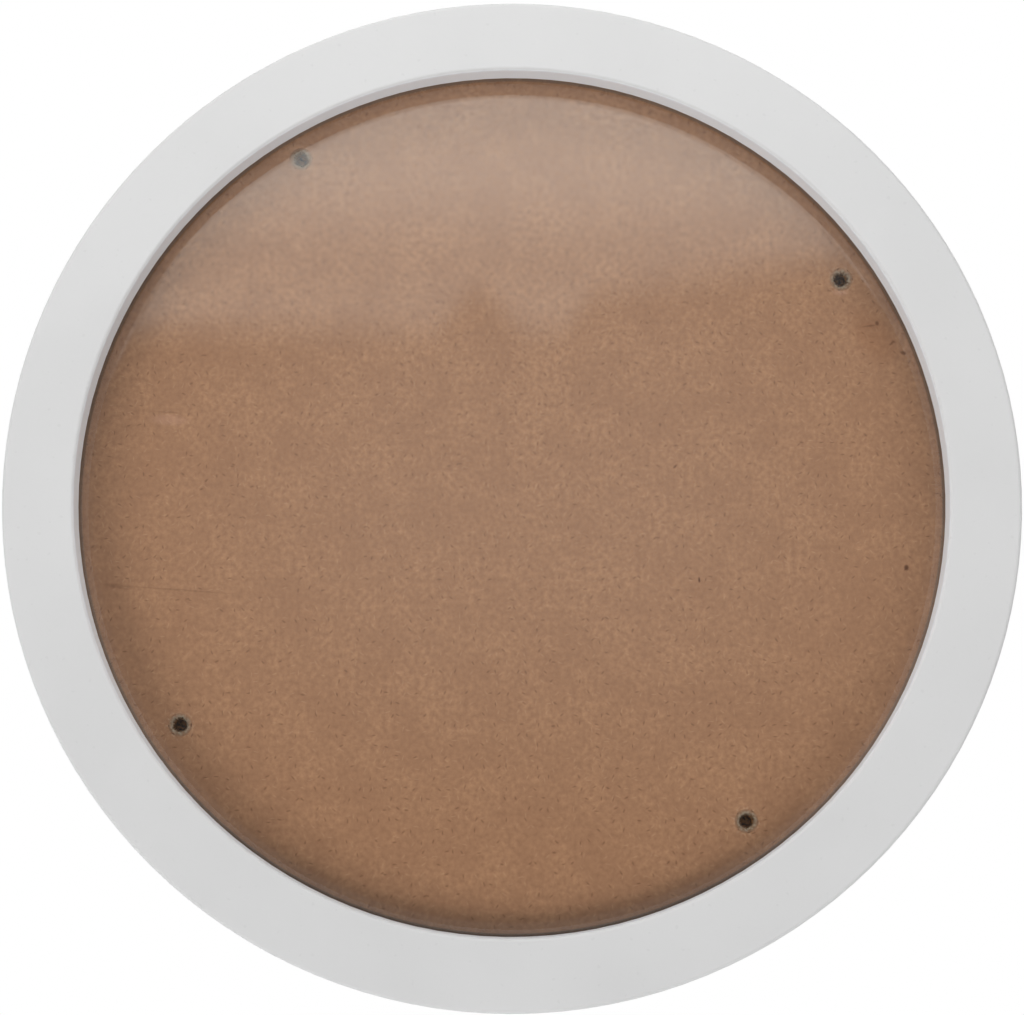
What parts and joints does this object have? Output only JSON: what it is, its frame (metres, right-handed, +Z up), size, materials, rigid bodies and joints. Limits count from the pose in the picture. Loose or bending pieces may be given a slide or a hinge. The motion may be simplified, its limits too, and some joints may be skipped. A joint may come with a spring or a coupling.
{
  "type": "round photo frame",
  "caption": "Round wall photo frame: white lacquered ring with a deep lip, clear pane and brown back board, locked by turn tabs on rivets, with a sawtooth hanger and rubber bumpers behind.",
  "frame": {"origin": "the top of the hanger's middle notch, on the plane of the wall, where a nail carries the frame", "axes": "+Z up, +X to the right as seen from the front, +Y into the wall, so the front looks towards -Y"},
  "size_m": [0.3, 0.025, 0.3],
  "materials": {
    "white_lacquer": "satin white lacquer on fibreboard",
    "clear_acrylic": "clear polished sheet",
    "brown_fibreboard": "raw pressed fibreboard",
    "zinc_plate": "zinc-plated pressed steel",
    "rivet_steel": "dull plated steel",
    "nail_steel": "brass-washed steel",
    "bumper_rubber": "soft translucent rubber"
  },
  "bodies": {
    "frame": {"frame_ring": "white_lacquer", "acrylic_pane": "clear_acrylic", "backing_board": "brown_fibreboard", "rivet_1": "rivet_steel", "rivet_2": "rivet_steel", "rivet_3": "rivet_steel", "rivet_4": "rivet_steel", "washer_1": "zinc_plate", "washer_2": "zinc_plate", "washer_3": "zinc_plate", "washer_4": "zinc_plate", "sawtooth_hanger": "zinc_plate", "hanger_nail_left": "nail_steel", "hanger_nail_right": "nail_steel", "wall_bumper_left": "bumper_rubber", "wall_bumper_right": "bumper_rubber"},
    "tab_1": {"turn_tab_1": "zinc_plate"},
    "tab_2": {"turn_tab_2": "zinc_plate"},
    "tab_3": {"turn_tab_3": "zinc_plate"},
    "tab_4": {"turn_tab_4": "zinc_plate"}
  },
  "joints": [
    {"name": "tab_1_turn", "type": "hinge", "parent": "frame", "child": "tab_1", "pos_m": [-0.06429, -0.0082, -0.03773], "axis": [0, 1, 0], "continuous": true},
    {"name": "tab_2_turn", "type": "hinge", "parent": "frame", "child": "tab_2", "pos_m": [0.09983, -0.0082, -0.07566], "axis": [0, 1, 0], "continuous": true},
    {"name": "tab_3_turn", "type": "hinge", "parent": "frame", "child": "tab_3", "pos_m": [0.0688, -0.0082, -0.23798], "axis": [0, 1, 0], "continuous": true},
    {"name": "tab_4_turn", "type": "hinge", "parent": "frame", "child": "tab_4", "pos_m": [-0.09775, -0.0082, -0.20993], "axis": [0, 1, 0], "continuous": true}
  ]
}
